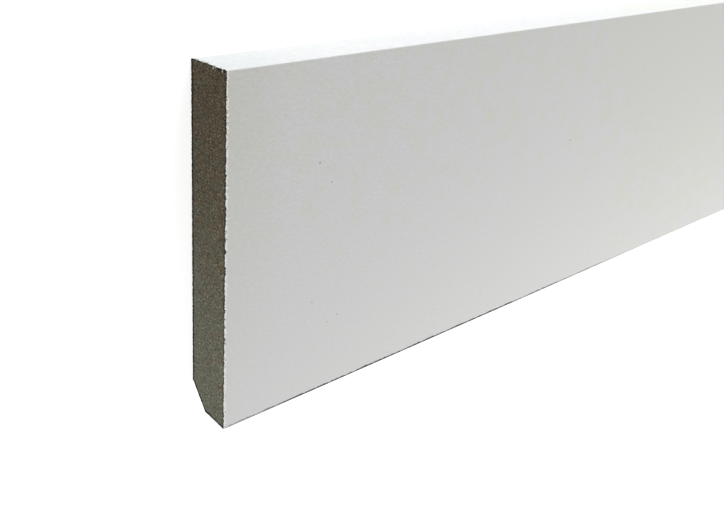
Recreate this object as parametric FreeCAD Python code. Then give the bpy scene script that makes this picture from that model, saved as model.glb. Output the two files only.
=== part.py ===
import FreeCAD, Part
import math
import os

# Skirting board length: one straight moulding of medium density fibreboard, sawn square at both ends.
# It lies flat, as a loose length lies on a floor, in millimetres.
# X runs along the length, Y across the width that stands up the wall in use, and Z through the thickness.
# The origin is on the floor, under the middle of the board.
# The broad square face is up. The broad face with the chamfer is down, with the chamfer on the -Y side.

# Stock size
board_length = 2400.0
board_width = 100.0
board_thickness = 16.0

# Chamfer planed off one long corner: its reach up through the thickness, and in across the broad face
chamfer_depth = 6.5
chamfer_reach = 7.0

# Radius that the sanding belt leaves on every long corner
arris_radius = 0.3

PARTS_FOLDER = "parts"


def section_corners():
    """Corners of the section as (y, z), anticlockwise as seen from +X, before the arrises are eased."""
    half_width = board_width / 2
    return [
        (-half_width + chamfer_reach, 0.0),
        (half_width, 0.0),
        (half_width, board_thickness),
        (-half_width, board_thickness),
        (-half_width, chamfer_depth),
    ]


def section_point(corner):
    """A corner of the section as a point on the sawn end at -X."""
    y, z = corner
    return FreeCAD.Vector(-board_length / 2, y, z)


def eased_corner(before, corner, after, radius):
    """Start, middle and end of the arc that eases one corner of the section."""
    towards_before = (before - corner).normalize()
    towards_after = (after - corner).normalize()
    half_angle = towards_before.getAngle(towards_after) / 2
    inwards = (towards_before + towards_after).normalize()
    setback = radius / math.tan(half_angle)
    centre = corner + inwards * (radius / math.sin(half_angle))
    return (
        corner + towards_before * setback,
        centre - inwards * radius,
        corner + towards_after * setback,
    )


def section_wire():
    """Closed outline of the section: straight faces joined by the eased arrises."""
    corners = [section_point(corner) for corner in section_corners()]
    count = len(corners)
    arcs = [
        eased_corner(corners[i - 1], corners[i], corners[(i + 1) % count], arris_radius)
        for i in range(count)
    ]
    edges = []
    for i in range(count):
        start, middle, end = arcs[i]
        next_start = arcs[(i + 1) % count][0]
        edges.append(Part.Arc(start, middle, end).toShape())
        edges.append(Part.LineSegment(end, next_start).toShape())
    return Part.Wire(edges)


def skirting_board():
    """The section run out to the full length, with both ends sawn square."""
    return Part.Face(section_wire()).extrude(FreeCAD.Vector(board_length, 0, 0))


def main():
    os.makedirs(PARTS_FOLDER, exist_ok=True)
    board = skirting_board()
    board.exportStep(os.path.join(PARTS_FOLDER, "skirting_board.step"))
    print("skirting_board", board.ShapeType, "valid", board.isValid(), "volume mm3", round(board.Volume, 1))


main()
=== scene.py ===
import math
import bpy
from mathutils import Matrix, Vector


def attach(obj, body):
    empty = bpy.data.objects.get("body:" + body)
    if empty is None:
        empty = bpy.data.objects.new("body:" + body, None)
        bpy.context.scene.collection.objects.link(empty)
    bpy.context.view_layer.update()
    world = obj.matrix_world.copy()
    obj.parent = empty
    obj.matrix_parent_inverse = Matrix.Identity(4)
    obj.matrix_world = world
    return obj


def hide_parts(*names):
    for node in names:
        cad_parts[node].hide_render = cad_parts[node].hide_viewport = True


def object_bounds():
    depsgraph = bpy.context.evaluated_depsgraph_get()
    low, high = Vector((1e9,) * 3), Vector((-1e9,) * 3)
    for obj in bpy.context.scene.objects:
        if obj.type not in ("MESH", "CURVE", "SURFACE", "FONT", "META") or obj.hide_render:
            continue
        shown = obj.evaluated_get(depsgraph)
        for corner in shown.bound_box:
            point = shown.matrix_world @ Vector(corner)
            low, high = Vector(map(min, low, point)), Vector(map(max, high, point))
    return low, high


# A length of white-coated fibreboard skirting, lying flat with its broad square face up.
# All sizes are in metres. X runs along the board, Y across its width, Z up through its thickness.
# The square narrow edge is at +Y. The chamfer is under the board, beside the narrow edge at -Y.

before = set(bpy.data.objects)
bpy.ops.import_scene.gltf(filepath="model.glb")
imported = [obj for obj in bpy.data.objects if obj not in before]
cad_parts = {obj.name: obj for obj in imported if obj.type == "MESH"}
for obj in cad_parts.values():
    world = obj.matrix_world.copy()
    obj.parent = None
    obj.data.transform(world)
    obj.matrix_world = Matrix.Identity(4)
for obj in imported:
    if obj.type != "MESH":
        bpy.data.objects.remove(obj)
cadLow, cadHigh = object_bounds()
print("frame loaded:", cadLow, cadHigh)

board = {
    "length": cadHigh.x - cadLow.x,
    "width": cadHigh.y - cadLow.y,
    "thickness": cadHigh.z - cadLow.z,
    "chamferDepth": 0.0065,     # up through the thickness
    "chamferReach": 0.007,      # in across the broad face
    "arrisRadius": 0.0003,
    "arrisSegments": 3,
}
halfLength = board["length"] / 2
halfWidth = board["width"] / 2
chamferPlace = Vector((0, board["chamferReach"] - halfWidth, 0))
chamferNormal = Vector((0, -board["chamferDepth"], -board["chamferReach"])).normalized()
ends = {"left": -1, "right": 1}     # the sawn ends, and which way along X each one faces


# Modelling

closeBy = 0.000001              # places nearer than this count as one
cutThreshold = 0.0000001        # the same for a vertex and a cutting plane
mapMargin = 0.01                # kept free along both sides of a strip of a baking map


def startAfresh():
    if bpy.context.object and bpy.context.object.mode != "OBJECT":
        bpy.ops.object.mode_set(mode="OBJECT")
    bpy.ops.object.select_all(action="DESELECT")


def pickUp(piece):
    startAfresh()
    piece.select_set(True)
    bpy.context.view_layer.objects.active = piece


# Selects the vertices, edges or faces of a piece that a test picks by their place, and goes into edit mode
def choose(piece, kind, test):
    pickUp(piece)
    mesh = piece.data
    bpy.context.tool_settings.mesh_select_mode = (kind == "vertices", kind == "edges", kind == "faces")
    for group in (mesh.vertices, mesh.edges, mesh.polygons):
        group.foreach_set("select", [False] * len(group))
    if kind == "vertices":
        for vertex in mesh.vertices:
            vertex.select = test(vertex.co)
    elif kind == "edges":
        places = [vertex.co.copy() for vertex in mesh.vertices]
        for edge in mesh.edges:
            edge.select = test(*(places[i] for i in edge.vertices))
    else:
        for face in mesh.polygons:
            face.select = test(face.center, face.normal)
    bpy.ops.object.mode_set(mode="EDIT")


def chooseAll(piece):
    choose(piece, "vertices", lambda place: True)


# A straight bar of the board's section with the given skin taken off, from one sawn end to the other
def sectionBar(name, skin, setBack, rows, columns):
    startAfresh()
    bpy.ops.mesh.primitive_grid_add(
        x_subdivisions=columns, y_subdivisions=rows, size=1,
        location=(setBack - halfLength, 0, board["thickness"] / 2), rotation=(0, -math.pi / 2, 0))
    bar = bpy.context.object    # upright at the left end, its X side now the thickness
    bar.name = bar.data.name = name
    bar.scale = (board["thickness"] - 2 * skin, board["width"] - 2 * skin, 1)
    bpy.ops.object.transform_apply(location=True, rotation=True, scale=True)
    chooseAll(bar)
    bpy.ops.mesh.bisect(
        plane_co=chamferPlace - chamferNormal * skin, plane_no=chamferNormal,
        clear_outer=True, threshold=cutThreshold)
    bpy.ops.mesh.select_all(action="SELECT")
    run = board["length"] - 2 * setBack
    bpy.ops.mesh.extrude_region_move(TRANSFORM_OT_translate={"value": (run, 0, 0)})
    bpy.ops.mesh.select_all(action="SELECT")
    bpy.ops.mesh.normals_make_consistent(inside=False)
    bpy.ops.object.mode_set(mode="OBJECT")
    return bar


def crossCut(piece, places):
    chooseAll(piece)
    for x in places:
        bpy.ops.mesh.select_all(action="SELECT")
        bpy.ops.mesh.bisect(plane_co=(x, 0, 0), plane_no=(1, 0, 0), threshold=cutThreshold)
    bpy.ops.object.mode_set(mode="OBJECT")


def applyAll(piece):
    pickUp(piece)
    for modifier in list(piece.modifiers):
        bpy.ops.object.modifier_apply(modifier=modifier.name)


def nameGroup(piece, group, weight):
    made = piece.vertex_groups.new(name=group)
    for vertex in piece.data.vertices:
        amount = weight(vertex.co)
        if amount > 0:
            made.add([vertex.index], amount, "REPLACE")


# Pushes a named group into the board from its sawn end by a cloud pattern, as deep as the wear says
def roughen(piece, group, sign, roughening):
    pattern = bpy.data.textures.new(group, type="CLOUDS")
    pattern.noise_scale = roughening["size"]
    pattern.noise_depth = 1
    pattern.contrast = roughening["contrast"]
    pattern.intensity = roughening["brightness"]
    pattern.use_clamp = True
    push = piece.modifiers.new(group, "DISPLACE")
    push.texture = pattern
    push.texture_coords = "LOCAL"
    push.direction = "X"
    push.vertex_group = group
    push.mid_level = 0
    push.strength = -sign * roughening["depth"]
    applyAll(piece)
    piece.vertex_groups.remove(piece.vertex_groups[group])
    bpy.data.textures.remove(pattern)


# How deep a point lies inside the outline of the section, with the given skin taken off
def depthInside(place, skin):
    return min(
        halfWidth - abs(place.y), place.z, board["thickness"] - place.z,
        (chamferPlace - place).dot(chamferNormal)) - skin


# Where a point lies round the section, from 0 to 1, on the same turn as the middle of its face
def aroundSection(place, middle):
    turns = [math.atan2(p.z / board["thickness"] - 0.5, p.y / board["width"]) for p in (middle, place)]
    change = (turns[1] - turns[0] + math.pi) % (2 * math.pi) - math.pi
    return 0.5 + (turns[0] + change) / (2 * math.pi)


# Where a point lies along the board, from 0 to 1
def alongBoard(place):
    return place.x / board["length"] + 0.5


# Gives a piece its own map for baking, in which spot says where a corner of a face lies
def layOut(piece, spot):
    mesh = piece.data
    layer = mesh.uv_layers.new(name="OFBake")
    for face in mesh.polygons:
        for corner in face.loop_indices:
            layer.uv[corner].vector = spot(face, mesh.vertices[mesh.loops[corner].vertex_index].co)


# From 0 to 1 across a strip of the map, kept a little inside it
def onStrip(strip, share):
    low, high = strip
    return low + (high - low) * (mapMargin + (1 - 2 * mapMargin) * share)


# The part of a strip that one of the sawn ends has
def halfOf(strip, rightEnd):
    low, high = strip
    middle = (low + high) / 2
    return (middle, high) if rightEnd else (low, middle)


# Materials

noiseMean = 0.5                 # of every noise pattern
dotFade = (0.5, 1.3)            # a dot fades out between these shares of its radius


# A shader socket that can be used in sums
class Wire:
    def __init__(self, finish, socket):
        self.finish = finish
        self.socket = socket

    # A number added to a place shifts it by as much along each axis
    def __add__(self, other):
        if self.socket.type == "VECTOR":
            shift = (other, other, other)
            return self.finish.node("ShaderNodeVectorMath", {"operation": "ADD"}, {0: self, 1: shift})
        return self.finish.maths("ADD", self, other)

    def __sub__(self, other):
        return self.finish.maths("SUBTRACT", self, other)

    def __rsub__(self, other):
        return self.finish.maths("SUBTRACT", other, self)

    def __mul__(self, other):
        return self.finish.maths("MULTIPLY", self, other)

    def __truediv__(self, other):
        return self.finish.maths("DIVIDE", self, other)

    def __abs__(self):
        return self.finish.maths("ABSOLUTE", self)

    __radd__ = __add__
    __rmul__ = __mul__


class Finish:
    def __init__(self, owner):
        self.owner = owner
        owner.use_nodes = True
        self.tree = owner.node_tree
        self.tree.nodes.clear()

    # Adds a node of any type with its settings, then the values or links of its sockets
    def node(self, kind, settings={}, inputs={}, output=0):
        made = self.tree.nodes.new(kind)
        for name, value in settings.items():
            if name == "stops":
                self.setStops(made.color_ramp, value)
            else:
                setattr(made, name, value)
        for name, value in inputs.items():
            if isinstance(value, Wire):
                self.tree.links.new(value.socket, made.inputs[name])
            else:
                made.inputs[name].default_value = value
        return Wire(self, made.outputs[output]) if len(made.outputs) else None

    def setStops(self, ramp, stops):
        while len(ramp.elements) < len(stops):
            ramp.elements.new(position=0.5)
        for element, (position, colour) in zip(ramp.elements, stops):
            element.position = position
            element.color = colour

    def maths(self, operation, *values):
        return self.node("ShaderNodeMath", {"operation": operation}, dict(enumerate(values)))

    def greater(self, first, second):
        return self.maths("MAXIMUM", first, second)

    def lesser(self, first, second):
        return self.maths("MINIMUM", first, second)

    def place(self):
        return self.node("ShaderNodeTexCoord", output="Object")

    def axis(self, place, name):
        return self.node("ShaderNodeSeparateXYZ", {}, {"Vector": place}, name)

    def stretch(self, place, scale):
        return self.node("ShaderNodeMapping", {}, {"Vector": place, "Scale": scale})

    def noise(self, place, size, detail=2.0, roughness=0.5):
        return self.node("ShaderNodeTexNoise", {}, {
            "Vector": place, "Scale": 1 / size, "Detail": detail, "Roughness": roughness})

    # 0 below low, 1 above high, with a soft step between them
    def step(self, value, low, high):
        return self.node("ShaderNodeMapRange", {"interpolation_type": "SMOOTHSTEP"}, {
            "Value": value, "From Min": low, "From Max": high})

    # 1 up to one share of a reach and 0 from the other on, with a soft step between them
    def near(self, distance, reach, fade=(0, 1)):
        return 1 - self.step(distance, reach * fade[0], reach * fade[1])

    # 1 inside round dots that are scattered at the given spacing
    def dots(self, place, spacing, radius):
        nearest = self.node("ShaderNodeTexVoronoi", {"feature": "F1"}, {
            "Vector": place, "Scale": 1 / spacing, "Randomness": 1.0})
        return self.near(nearest * spacing, radius, dotFade)

    def mix(self, factor, first, second, blend="MIX"):
        settings = {"data_type": "RGBA", "blend_type": blend}
        return self.node("ShaderNodeMix", settings, {0: factor, 6: first, 7: second}, 2)

    def multiply(self, first, second):
        return self.mix(1.0, first, second, "MULTIPLY")

    # A colour made darker or lighter by a factor
    def shade(self, colour, factor):
        grey = self.node("ShaderNodeCombineColor", {}, {"Red": factor, "Green": factor, "Blue": factor})
        return self.multiply(colour, grey)

    # Ends a material with its colour, its roughness and the height of its relief in metres
    def close(self, colour, roughness, height, specular):
        bump = self.node("ShaderNodeBump", {}, {"Strength": 1.0, "Distance": 1.0, "Height": height})
        surface = self.node("ShaderNodeBsdfPrincipled", {}, {
            "Base Color": colour, "Roughness": roughness, "Specular IOR Level": specular, "Normal": bump})
        self.node("ShaderNodeOutputMaterial", {}, {"Surface": surface})
        return self.owner


# The coat of paint: a thin closed film round the board, open at the sawn ends and torn along their rims.
# In what follows a fade gives the shares of a width, and a range the values of a noise, between which
# something comes or goes.

coat = {
    "name": "white_coat",
    "thickness": 0.00012,
    "columnWidth": 0.00013,     # round the section, so fine that a torn rim shows its teeth
    "rimDepth": 0.002,          # how far in from the saw cut the first cross line lies
    "crossLines": 5,            # along the rest of the length
    "smoothBelow": 25,          # degrees
    "colour": (0.811, 0.811, 0.811, 1),
    "roughness": 0.5,
    "specular": 0.5,
    # what the saw tears off the rim, small teeth and larger chips, most on the square edge where it came out
    "teeth": {"size": 0.00045, "depth": 0.00038, "contrast": 2.6, "brightness": 0.84,
              "onEdge": 1, "onTop": 0.62, "elsewhere": 0.3},
    "chips": {"size": 0.0013, "depth": 0.0009, "contrast": 4.0, "brightness": 0.35,
              "onEdge": 1, "onTop": 0.25, "elsewhere": 0},
    # warmer patches, more of them towards the square edge, per metre, and away from the sawn ends
    "patches": {"colour": (0.805, 0.805, 0.765, 1), "size": 0.006, "detail": 3.0, "roughness": 0.6,
                "range": (0.54, 0.70), "drift": 3.2, "farMore": 0.27, "farFrom": 0.14, "farTo": 0.22},
    # darker beside the cut, most towards the square edge, yellowish on the broad face and greyer on the
    # narrow edge
    "nearCutTone": {"faceColour": (0.765, 0.76, 0.715, 1), "faceReach": 0.022,
             "edgeColour": (0.745, 0.76, 0.755, 1), "edgeReach": 0.034},
    # orange peel of the rolled coat, with more tint beside the cut, towards the square edge
    "peel": {"size": 0.0010, "stretch": (0.75, 1.25, 1), "depth": 0.000012,
             "tint": 0.045, "nearTint": 0.046, "nearReach": 0.14},
    # small grey specks, at a mean spacing all over, and on the broad square face at some places, which are
    # given from the left sawn end, across from the middle, with their radius
    "specks": {"colour": (0.42, 0.40, 0.37, 1), "spacing": 0.060, "radius": 0.0003, "fade": (0.4, 1),
               "places": ((0.0300, 0.0215, 0.00042), (0.0346, 0.0151, 0.00030), (0.0295, -0.0199, 0.00030),
                          (0.0393, -0.0269, 0.00030), (0.0356, -0.0283, 0.00025), (0.1455, 0.0081, 0.00040))},
    # painted shadow line along the long corner between the broad square face and the lower edge, darkest a
    # little way in from the sawn end, where the coat is also made rougher
    "scuff": {"colour": (0.022, 0.020, 0.016, 1), "width": 0.00076, "fade": (0.7, 1.1), "patchSize": 0.004,
              "atCut": 0.45, "darkestFrom": 0.035, "darkestTo": 0.115, "goneAt": 0.23, "rougher": 0.5},
    # fresh broken coat beside the cut, which stands up towards it, with dust between its shreds; it is
    # painted whiter than the coat, partly its own colour and partly a painted highlight of the light that the
    # torn rim catches
    "cut": {"colour": (0.98, 0.955, 0.925, 1), "width": 0.00062, "fade": (0.85, 1.1),
            "reliefSize": 0.0006, "relief": 0.00025, "lift": 0.6, "dustyLift": 0.3,
            "greyerColour": (0.36, 0.34, 0.30, 1), "shredSize": 0.0008, "shredRange": (0.32, 0.40)},
    # painted shadow line: the outermost rim of the coat at the sawn end, painted dark towards the face under
    # the board
    "paintedShadowLine": {"colour": (0.03, 0.029, 0.026, 1), "width": 0.0002, "fade": (0.6, 1), "upTo": (0.3, 0.7)},
}
edgeLengths = (0.5, 1.4)        # the edges across a face are between these shares of its size
coatMap = {"spans": (0, 0.84), "rims": (0.84, 0.92), "sawnEdges": (0.92, 0.96), "inside": (0.96, 1)}


def coatSpot(face, place):
    middle = face.center
    turn = aroundSection(place, middle)
    rightEnd = middle.x > 0
    faceDepth = depthInside(middle, 0) / coat["thickness"]
    if faceDepth > 0.9:         # the side that lies on the core
        return turn, onStrip(coatMap["inside"], alongBoard(place))
    if faceDepth > 0.1:         # the broken edges in the saw cuts
        depth = depthInside(place, 0) / coat["thickness"]
        return turn, onStrip(halfOf(coatMap["sawnEdges"], rightEnd), depth)
    if halfLength - abs(middle.x) < coat["rimDepth"]:
        fromCut = (halfLength - abs(place.x)) / coat["rimDepth"]
        return turn, onStrip(halfOf(coatMap["rims"], rightEnd), fromCut)
    spans = coat["crossLines"] + 1
    span = math.floor(alongBoard(middle) * spans)
    return onStrip((span / spans, (span + 1) / spans), turn), onStrip(
        coatMap["spans"], alongBoard(place) * spans - span)


# Divides each flat face into columns across its width, in two goes, because one go has a limit
def divideFaces(shell):
    for size in (board["width"], board["thickness"], board["chamferReach"]):
        parts = round(math.sqrt(size / coat["columnWidth"]))
        for step in range(2):
            shortest, longest = (share * size / parts ** step for share in edgeLengths)
            choose(shell, "edges", lambda a, b: (
                abs(a.x - b.x) < closeBy and shortest < (a - b).length < longest))
            bpy.ops.mesh.subdivide(number_cuts=parts - 1)


def tearRim(shell, end, sign):
    for kind in ("teeth", "chips"):
        roughening = coat[kind]
        group = end + kind.capitalize()
        nameGroup(shell, group, lambda place: (
            0 if place.x * sign < halfLength - coat["rimDepth"] / 2
            else roughening["onEdge"] if place.y > halfWidth - closeBy
            else roughening["onTop"] if place.z > board["thickness"] - board["arrisRadius"]
            else roughening["elsewhere"]))
        roughen(shell, group, sign, roughening)


def coatShell():
    shell = sectionBar(coat["name"], 0, 0, 1, 1)
    choose(shell, "faces", lambda centre, normal: abs(normal.x) > 0.9)
    bpy.ops.mesh.delete(type="ONLY_FACE")
    choose(shell, "edges", lambda a, b: abs(a.x - b.x) > halfLength)
    bpy.ops.mesh.bevel(
        offset=board["arrisRadius"], offset_type="OFFSET", segments=board["arrisSegments"], affect="EDGES")
    divideFaces(shell)
    span = board["length"] / (coat["crossLines"] + 1)
    rims = [sign * (halfLength - coat["rimDepth"]) for sign in (1, -1)]
    crossCut(shell, rims + [span * (i + 1) - halfLength for i in range(coat["crossLines"])])
    for end, sign in ends.items():
        tearRim(shell, end, sign)
    wall = shell.modifiers.new("wall", "SOLIDIFY")
    wall.thickness = coat["thickness"]
    wall.offset = -1
    wall.use_even_offset = True
    applyAll(shell)
    bpy.ops.object.shade_smooth_by_angle(angle=math.radians(coat["smoothBelow"]))
    layOut(shell, coatSpot)
    return shell


def coatMaterial():
    finish = Finish(bpy.data.materials.new("white_coat"))
    place = finish.place()
    x, y, z = (finish.axis(place, name) for name in "XYZ")
    toCut = halfLength - abs(x)
    onFace = 1 - finish.step(y, halfWidth - board["arrisRadius"], halfWidth)
    upper = finish.step(y, -halfWidth, halfWidth)       # 1 at the square edge

    patches = coat["patches"]
    warm = finish.noise(place, patches["size"], patches["detail"], patches["roughness"])
    warm = warm + y * onFace * patches["drift"]
    warm = warm + finish.step(toCut, patches["farFrom"], patches["farTo"]) * patches["farMore"]
    colour = finish.mix(finish.step(warm, *patches["range"]), coat["colour"], patches["colour"])

    nearCutTone = coat["nearCutTone"]
    reach = nearCutTone["edgeReach"] + onFace * (nearCutTone["faceReach"] - nearCutTone["edgeReach"])
    greyerColour = finish.mix(onFace, nearCutTone["edgeColour"], nearCutTone["faceColour"])
    colour = finish.mix(finish.near(toCut / reach, 1) * upper, colour, greyerColour)

    peel = coat["peel"]
    dimples = finish.noise(finish.stretch(place, peel["stretch"]), peel["size"], detail=1.0)
    tint = peel["tint"] + finish.near(toCut, peel["nearReach"]) * upper * peel["nearTint"]
    colour = finish.shade(colour, 1 + (dimples - noiseMean) * tint * 2)

    specks = coat["specks"]
    grey = finish.dots(place, specks["spacing"], specks["radius"])
    for along, across, radius in specks["places"]:
        middle = (along - halfLength, across, board["thickness"])
        away = finish.node("ShaderNodeVectorMath", {"operation": "DISTANCE"}, {0: place, 1: middle}, "Value")
        grey = finish.greater(grey, finish.near(away, radius, specks["fade"]))
    colour = finish.mix(grey, colour, specks["colour"])

    scuff, cut = coat["scuff"], coat["cut"]
    broken = finish.noise(place, cut["reliefSize"], detail=1.0)
    cornerShadowNoise = finish.noise(place, scuff["patchSize"])
    # painted shadow: a dark line along the corner above the lower edge, broken by noise, and fading out along
    # the board
    toCorner = finish.greater(y + halfWidth, board["thickness"] - z)
    toCorner = toCorner + (broken + cornerShadowNoise - 2 * noiseMean) * scuff["width"]
    roughening = finish.near(toCorner, scuff["width"], scuff["fade"])
    roughening = roughening * (scuff["atCut"] + finish.step(toCut, 0, scuff["darkestFrom"]) * (1 - scuff["atCut"]))
    roughening = roughening * (1 - finish.step(toCut, scuff["darkestTo"], scuff["goneAt"]))
    colour = finish.mix(roughening, colour, scuff["colour"])

    # A place that is moved along gives another pattern of the same kind
    fromCut = toCut + (broken - noiseMean) * cut["width"] * 2
    torn = finish.near(fromCut, cut["width"], cut["fade"])
    shreds = finish.step(finish.noise(place + 1.0, cut["shredSize"], detail=1.0), *cut["shredRange"])
    # the broken coat: a whiter colour, partly a painted highlight
    colour = finish.mix(torn, colour, finish.mix(shreds, cut["greyerColour"], cut["colour"]))

    # painted shadow: the coat's rim darkened at the sawn end towards the face under the board
    paintedShadowLine = coat["paintedShadowLine"]
    inShadowLine = finish.near(toCut, paintedShadowLine["width"], paintedShadowLine["fade"])
    inShadowLine = inShadowLine * finish.near(z, board["thickness"], paintedShadowLine["upTo"])
    colour = finish.mix(inShadowLine, colour, paintedShadowLine["colour"])

    lift = (cut["width"] - toCut) * cut["lift"] * (cut["dustyLift"] + shreds * (1 - cut["dustyLift"]))
    height = dimples * peel["depth"] + torn * (broken * cut["relief"] + lift)
    return finish.close(colour, coat["roughness"] + roughening * scuff["rougher"], height, coat["specular"])


# The bare fibreboard under the coat, which shows at the sawn ends

core = {
    "name": "fibreboard_core",
    "setBack": 0.00002,         # of the sawn face, behind the rim of the coat
    "cell": 0.0003,             # of the grid that carries the sawn relief
    "borderFall": 0.00006,      # how far the outermost cells fall away under the coat
    "smoothBelow": 60,          # degrees
    "roughness": 0.9,
    "specular": 0.3,
    # relief of the whole sawn face
    "sawn": {"size": 0.0009, "depth": 0.00016, "contrast": 1.3, "brightness": 1.0},
    # the ragged strip under the square edge, narrowest under the board, where the saw went in, with painted
    # shade in its holes
    "torn": {"size": 0.0009, "depth": 0.0006, "contrast": 3.0, "brightness": 0.6,
             "width": 0.0015, "least": 0.5, "fade": (0.4, 1), "wander": 1.5,
             "colour": (0.22, 0.235, 0.18, 1), "range": (0.50, 0.62),
             "holeRange": (0.37, 0.47), "holePaintedShade": 0.6, "holeDepth": 0.0002},
    # shreds of the coat that hang over the strip
    "smears": {"size": 0.0005, "stretch": (1, 0.35, 1), "range": (0.61, 0.67)},
    # fibres from dark to pale; less than 1 in the stretch makes them longer along that axis
    "grain": {"size": 0.00048, "stretch": (1, 1, 0.72), "detail": 1.5, "roughness": 0.6, "depth": 0.0001,
              "stops": ((0.29, (0.018, 0.0145, 0.006, 1)), (0.43, (0.121, 0.116, 0.087, 1)),
                        (0.57, (0.146, 0.142, 0.109, 1)), (0.76, (0.45, 0.44, 0.35, 1)))},
    # warm towards the square edge, cool and with less contrast towards the chamfer, in patches
    "tint": {"warm": (1.03, 0.835, 0.655, 1), "cool": (0.97, 1.02, 0.90, 1), "patchSize": 0.0030,
             "wander": 2.2, "skew": 0.2, "calmColour": (0.128, 0.130, 0.090, 1), "calming": 0.3},
    # painted light: lighter and cooler towards the face under the board, from this share of the thickness
    # down, and painted shade a little darker above
    "lowerPaintedLight": (1.15, 1.155, 1.20, 1),
    "upperPaintedShade": (0.96, 0.96, 0.96, 1),
    "lowerReach": 0.45,
    # small holes, with painted shade in them, and pale flecks
    "pits": {"spacing": 0.0026, "radius": 0.00026, "shade": 0.85, "depth": 0.0002},
    "flecks": {"colour": (0.45, 0.44, 0.35, 1), "spacing": 0.0031, "radius": 0.00024, "strength": 0.7},
    # the harder, darker skin beside the coat, with painted shade of the gap under the coat's rim on top of
    # it, only along the broad face above and the square edge
    "skinAndGapShade": {"width": 0.0009, "fade": (0.4, 1), "ragged": 3, "thinning": 0.8, "shade": 0.62},
    # painted shadow line round the lower corners of the sawn end, along the face under the board, the lower
    # edge and the chamfer
    "paintedShadowLine": {"colour": (0.004, 0.0038, 0.0035, 1), "width": 0.00062, "fade": (0.7, 1.2)},
}
coreMap = {"ends": (0, 0.94), "sides": (0.94, 1)}


# Both sawn ends fill most of the map, and the long sides under the coat share a strip of it
def coreSpot(face, place):
    if abs(face.center.x) < halfLength / 2:
        return onStrip(coreMap["sides"], aroundSection(place, face.center)), alongBoard(place)
    strip = halfOf(coreMap["ends"], face.center.x > 0)
    return onStrip(strip, place.z / board["thickness"]), onStrip((0, 1), place.y / board["width"] + 0.5)


# How badly the fibres under the square edge are torn at a height
def tearing(height):
    least = core["torn"]["least"]
    return least + (1 - least) * height / board["thickness"]


def roughenEnd(bar, end, sign):
    torn = core["torn"]
    sawnAt = sign * (halfLength - core["setBack"])
    nameGroup(bar, end + "Relief", lambda place: 1 if abs(place.x - sawnAt) < closeBy else 0)
    roughen(bar, end + "Relief", sign, core["sawn"])
    nameGroup(bar, end + "Torn", lambda place: (
        (1 + (place.y - halfWidth) / torn["width"]) * tearing(place.z) if place.x * sign > 0 else 0))
    roughen(bar, end + "Torn", sign, torn)
    choose(bar, "vertices", lambda place: (
        place.x * sign > 0 and depthInside(place, coat["thickness"]) < closeBy))
    bpy.ops.transform.translate(value=(-sign * core["borderFall"], 0, 0))
    bpy.ops.object.mode_set(mode="OBJECT")


def coreBar():
    rows = round(board["width"] / core["cell"])
    columns = round(board["thickness"] / core["cell"])
    bar = sectionBar(core["name"], coat["thickness"], core["setBack"], rows, columns)
    for end, sign in ends.items():
        roughenEnd(bar, end, sign)
    pickUp(bar)
    bpy.ops.object.shade_smooth_by_angle(angle=math.radians(core["smoothBelow"]))
    layOut(bar, coreSpot)
    return bar


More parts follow.
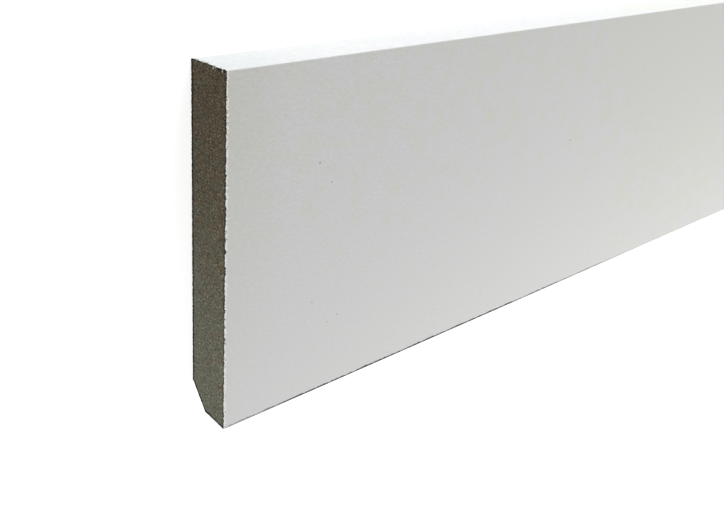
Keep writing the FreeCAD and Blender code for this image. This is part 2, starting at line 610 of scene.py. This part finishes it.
def coreMaterial():
    finish = Finish(bpy.data.materials.new("bare_fibreboard"))
    place = finish.place()
    y, z = (finish.axis(place, name) for name in "YZ")
    down = 1 - z / board["thickness"]                   # 1 at the face under the board

    grain = core["grain"]
    fibres = finish.noise(
        finish.stretch(place, grain["stretch"]), grain["size"], grain["detail"], grain["roughness"])
    colour = finish.node("ShaderNodeValToRGB", {"stops": grain["stops"]}, {"Fac": fibres})

    tint = core["tint"]
    wander = finish.noise(place, tint["patchSize"]) - noiseMean
    across = (0.5 - y / board["width"]) + (down - 0.5) * tint["skew"] + wander * tint["wander"]
    cool = finish.step(across, 0, 1)
    colour = finish.multiply(colour, finish.mix(cool, tint["warm"], tint["cool"]))
    colour = finish.mix(cool * tint["calming"], colour, tint["calmColour"])
    # painted light and shade across the thickness of the sawn end
    raised = finish.step(z, 0, board["thickness"] * core["lowerReach"])
    colour = finish.multiply(colour, finish.mix(raised, core["lowerPaintedLight"], core["upperPaintedShade"]))

    pits, flecks = core["pits"], core["flecks"]
    inPit = finish.dots(place, pits["spacing"], pits["radius"])
    onFleck = finish.dots(place + 1.0, flecks["spacing"], flecks["radius"])
    colour = finish.mix(onFleck * flecks["strength"], colour, flecks["colour"])

    torn, skinAndGapShade = core["torn"], core["skinAndGapShade"]
    broken = finish.noise(place, torn["size"])
    underEdge = (halfWidth - y) / tearing(z)
    toSkin = finish.lesser(underEdge + down * skinAndGapShade["width"] * skinAndGapShade["thinning"], board["thickness"] - z)
    toSkin = toSkin - coat["thickness"] + (broken - noiseMean) * skinAndGapShade["width"] * skinAndGapShade["ragged"]
    inSkinAndGapShade = finish.near(toSkin, skinAndGapShade["width"], skinAndGapShade["fade"])
    ragged = finish.near(underEdge + wander * torn["width"] * torn["wander"], torn["width"], torn["fade"])
    inHole = ragged * (1 - finish.step(broken, *torn["holeRange"]))
    colour = finish.mix(ragged * finish.step(broken, *torn["range"]), colour, torn["colour"])
    # painted shade: in the gap under the coat's rim, in the holes of the torn strip and in the pits
    colour = finish.shade(colour, (1 - inSkinAndGapShade * skinAndGapShade["shade"]) * (1 - inHole * torn["holePaintedShade"]) * (
        1 - inPit * pits["shade"]))

    # painted shadow: a black line along the lower sides of the sawn end
    paintedShadowLine = core["paintedShadowLine"]
    toChamfer = chamferNormal.dot(chamferPlace) - (y * chamferNormal.y + z * chamferNormal.z)
    toSides = finish.lesser(finish.lesser(z, y + halfWidth), toChamfer) - coat["thickness"]
    toSides = toSides + (broken - noiseMean) * paintedShadowLine["width"]
    colour = finish.mix(finish.near(toSides, paintedShadowLine["width"], paintedShadowLine["fade"]), colour, paintedShadowLine["colour"])

    smears = core["smears"]
    hanging = finish.noise(finish.stretch(place + 2.0, smears["stretch"]), smears["size"], detail=1.0)
    colour = finish.mix(ragged * finish.step(hanging, *smears["range"]), colour, coat["cut"]["colour"])

    height = fibres * grain["depth"] - inPit * pits["depth"] - inHole * torn["holeDepth"]
    return finish.close(colour, core["roughness"], height, core["specular"])


print("modelling the coat")
coatPiece = coatShell()
print("modelling the core")
corePiece = coreBar()
print("coat faces", len(coatPiece.data.polygons), "core faces", len(corePiece.data.polygons))

print("finishing the surfaces")
for piece, material in ((coatPiece, coatMaterial()), (corePiece, coreMaterial())):
    piece.data.materials.clear()
    piece.data.materials.append(material)
    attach(piece, "root")
    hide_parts("skirting_board")


# Studio

studio = {
    "floorColour": (0.8, 0.8, 0.8, 1),
    "floorGlow": 0.76,          # brings the lit floor up to white
    "floorSize": 30.0,
    "worldColour": (1, 1, 1, 1),
    "worldLight": 0.30,
}
lamps = {
    # a broad soft lamp, low on the side of the square edge
    "keyLamp": {"type": "SUN", "from": (0.45, 0.85, 0.24), "width": 45,
                "power": 2.92, "colour": (0.955, 0.981, 1)},
    # a strip light along the chamfered side, from the sawn end on
    "stripLamp": {"type": "AREA", "place": (0.40, -0.30, 0.20), "aim": (0.40, 0, 0.01),
                  "width": 3.2, "height": 0.25, "power": 3.27, "colour": (1, 0.976, 0.925)},
    # a low panel before the chamfered half of the sawn end, below the broad face, which lights the end alone
    "endLamp": {"type": "AREA", "place": (-1.26, -0.037, 0.009), "aim": (-1.20, -0.037, 0.008),
                "width": 0.06, "height": 0.012, "power": 0.0185, "colour": (0.90, 0.90, 1)},
}
camera = {
    "place": (cadLow.x - 0.1011, 0.0917, cadHigh.z + 0.1510),   # past the left sawn end and above it
    "turn": (-19.505, -35.939, 1.569),      # degrees about X, Y and Z
    "lens": 39.64,
    "shift": (0.1409, -0.1581),
    "nearest": 0.01,
}


# 1 for rays that show the background: straight to the camera, in a gloss or through glass
def backgroundRays(finish):
    seen = finish.node("ShaderNodeLightPath", output="Is Camera Ray")
    for name in ("Is Glossy Ray", "Is Transmission Ray"):
        seen = finish.greater(seen, finish.node("ShaderNodeLightPath", output=name))
    return seen


def whiteFloor():
    startAfresh()
    bpy.ops.mesh.primitive_plane_add(size=studio["floorSize"])
    floor = bpy.context.object
    floor.name = "floor"
    finish = Finish(bpy.data.materials.new("floor"))
    matt = finish.node("ShaderNodeBsdfDiffuse", {}, {"Color": studio["floorColour"]})
    glow = finish.node("ShaderNodeEmission", {}, {"Strength": backgroundRays(finish) * studio["floorGlow"]})
    both = finish.node("ShaderNodeAddShader", {}, {0: matt, 1: glow})
    finish.node("ShaderNodeOutputMaterial", {}, {"Surface": both})
    floor.data.materials.append(finish.owner)


def whiteWorld():
    world = bpy.data.worlds.new("world")
    bpy.context.scene.world = world
    finish = Finish(world)
    seen = backgroundRays(finish)
    strength = seen + (1 - seen) * studio["worldLight"]
    light = finish.node("ShaderNodeBackground", {}, {"Color": studio["worldColour"], "Strength": strength})
    finish.node("ShaderNodeOutputWorld", {}, {"Surface": light})


def addLamps():
    for name, lamp in lamps.items():
        data = bpy.data.lights.new(name, lamp["type"])
        data.energy = lamp["power"]
        data.color = lamp["colour"]
        holder = bpy.data.objects.new(name, data)
        bpy.context.scene.collection.objects.link(holder)
        holder.visible_camera = False
        if lamp["type"] == "SUN":
            data.angle = math.radians(lamp["width"])
            away = Vector(lamp["from"])
        else:
            data.shape = "RECTANGLE"
            data.size = lamp["width"]
            data.size_y = lamp["height"]
            holder.location = lamp["place"]
            away = Vector(lamp["place"]) - Vector(lamp["aim"])
        holder.rotation_euler = away.to_track_quat("Z", "Y").to_euler()


def addCamera():
    data = bpy.data.cameras.new("camera")
    data.lens = camera["lens"]
    data.shift_x, data.shift_y = camera["shift"]
    data.clip_start = camera["nearest"]
    holder = bpy.data.objects.new("camera", data)
    holder.location = camera["place"]
    holder.rotation_euler = [math.radians(angle) for angle in camera["turn"]]
    bpy.context.scene.collection.objects.link(holder)
    bpy.context.scene.camera = holder


print("setting up the studio")
whiteFloor()
whiteWorld()
addLamps()
addCamera()
bpy.context.scene.view_settings.view_transform = "Standard"
